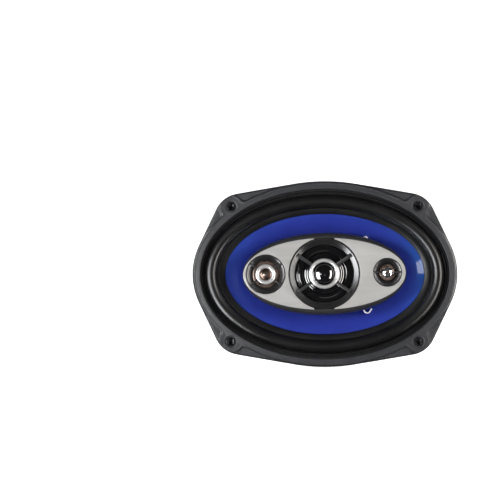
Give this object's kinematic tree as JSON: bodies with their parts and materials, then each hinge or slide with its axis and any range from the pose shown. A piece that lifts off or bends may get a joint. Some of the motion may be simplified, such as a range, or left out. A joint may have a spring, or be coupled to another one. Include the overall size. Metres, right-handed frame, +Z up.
{
  "type": "coaxial car speaker",
  "caption": "Oval coaxial car speaker: blue cone in a rubber roll, silver eye-shaped pod with small drivers over it, pressed basket, ring magnet and terminal board.",
  "frame": {"origin": "middle of the panel cut-out, on the rear face of the mounting flange", "axes": "+X to the right along the long axis as seen from the front, +Y back into the panel towards the magnet, +Z up along the short axis; it fires towards -Y"},
  "size_m": [0.235, 0.1088, 0.165],
  "materials": {
    "basket_paint": "black powder coat on pressed steel",
    "trim_plastic": "finely grained dark grey moulding",
    "surround_rubber": "satin black butyl rubber",
    "cone_plastic": "glossy translucent-looking blue injection moulding",
    "zinc_plate": "zinc plated steel",
    "ferrite": "dull dark ferrite",
    "pod_plastic": "satin black moulding",
    "bush_nylon": "glossy black nylon",
    "gloss_black": "gloss black",
    "silver_paint": "silver paint on plastic, satin",
    "bright_plate": "bright plated",
    "bronze_film": "bronze coloured film",
    "spider_cloth": "resin dipped yellow cotton cloth",
    "copper_wire": null,
    "element_brass": "thin brass disc with its piezo wafer",
    "former_foil": "rolled aluminium foil",
    "phenolic_board": "brown phenolic paper board",
    "tin_plate": "tin plated",
    "capacitor_sleeve": "dark blue shrunk sleeve, blank",
    "red_insulation": "red soft PVC",
    "black_insulation": "black soft PVC",
    "tinsel_braid": "silvery tinsel braid on a cotton core"
  },
  "bodies": {
    "chassis": {"basket": "basket_paint", "trim_ring": "trim_plastic", "screw_bush_1": "bush_nylon", "screw_bush_2": "bush_nylon", "screw_bush_3": "bush_nylon", "screw_bush_4": "bush_nylon", "surround": "surround_rubber", "spider": "spider_cloth", "top_plate": "zinc_plate", "magnet": "ferrite", "yoke": "zinc_plate", "basket_rivet_1": "zinc_plate", "basket_rivet_2": "zinc_plate", "basket_rivet_3": "zinc_plate", "basket_rivet_4": "zinc_plate", "centre_bolt": "zinc_plate", "standoff": "zinc_plate", "lock_washer": "zinc_plate", "centre_nut": "zinc_plate", "pod_housing": "pod_plastic", "face_plate_left": "silver_paint", "face_plate_right": "silver_paint", "mid_bezel": "pod_plastic", "mid_guard": "pod_plastic", "mid_ring": "silver_paint", "mid_bullet": "gloss_black", "mid_frame": "basket_paint", "mid_motor": "zinc_plate", "tweeter_bezel": "pod_plastic", "tweeter_guard": "pod_plastic", "tweeter_ring": "silver_paint", "tweeter_motor": "zinc_plate", "super_tweeter_bezel": "pod_plastic", "super_tweeter_guard": "pod_plastic", "super_tweeter_bullet": "bright_plate", "super_tweeter_element": "element_brass", "terminal_board": "phenolic_board", "terminal_rivet_1": "tin_plate", "terminal_rivet_2": "tin_plate", "positive_tab": "tin_plate", "negative_tab": "tin_plate", "capacitor_mid": "capacitor_sleeve", "capacitor_tweeter": "capacitor_sleeve", "tinsel_lead_upper": "tinsel_braid", "tinsel_lead_lower": "tinsel_braid", "pod_lead_red": "red_insulation", "pod_lead_black": "black_insulation"},
    "cone_assembly": {"cone": "cone_plastic", "voice_coil_former": "former_foil", "voice_coil_winding": "copper_wire", "tinsel_loop_upper": "tinsel_braid", "tinsel_loop_lower": "tinsel_braid"},
    "mid_diaphragm": {"mid_cone": "gloss_black", "mid_dust_cap": "gloss_black", "mid_voice_coil": "copper_wire"},
    "tweeter_diaphragm": {"tweeter_dome": "bronze_film"},
    "super_tweeter_diaphragm": {"super_tweeter_cone": "bronze_film"}
  },
  "joints": [
    {"name": "cone_travel", "type": "slide", "parent": "chassis", "child": "cone_assembly", "axis": [0, -1, 0], "range_m": [-0.005, 0.005], "stiffness_N_per_m": 3000, "deforming": ["surround", "spider", "tinsel_lead_upper", "tinsel_lead_lower"]},
    {"name": "mid_travel", "type": "slide", "parent": "chassis", "child": "mid_diaphragm", "axis": [0, -1, 0], "range_m": [-0.001, 0.001], "stiffness_N_per_m": 200},
    {"name": "tweeter_travel", "type": "slide", "parent": "chassis", "child": "tweeter_diaphragm", "axis": [0, -1, 0], "range_m": [-0.0003, 0.0003], "stiffness_N_per_m": 20},
    {"name": "super_tweeter_travel", "type": "slide", "parent": "chassis", "child": "super_tweeter_diaphragm", "axis": [0, -1, 0], "range_m": [-0.0001, 0.0001], "stiffness_N_per_m": 8}
  ]
}
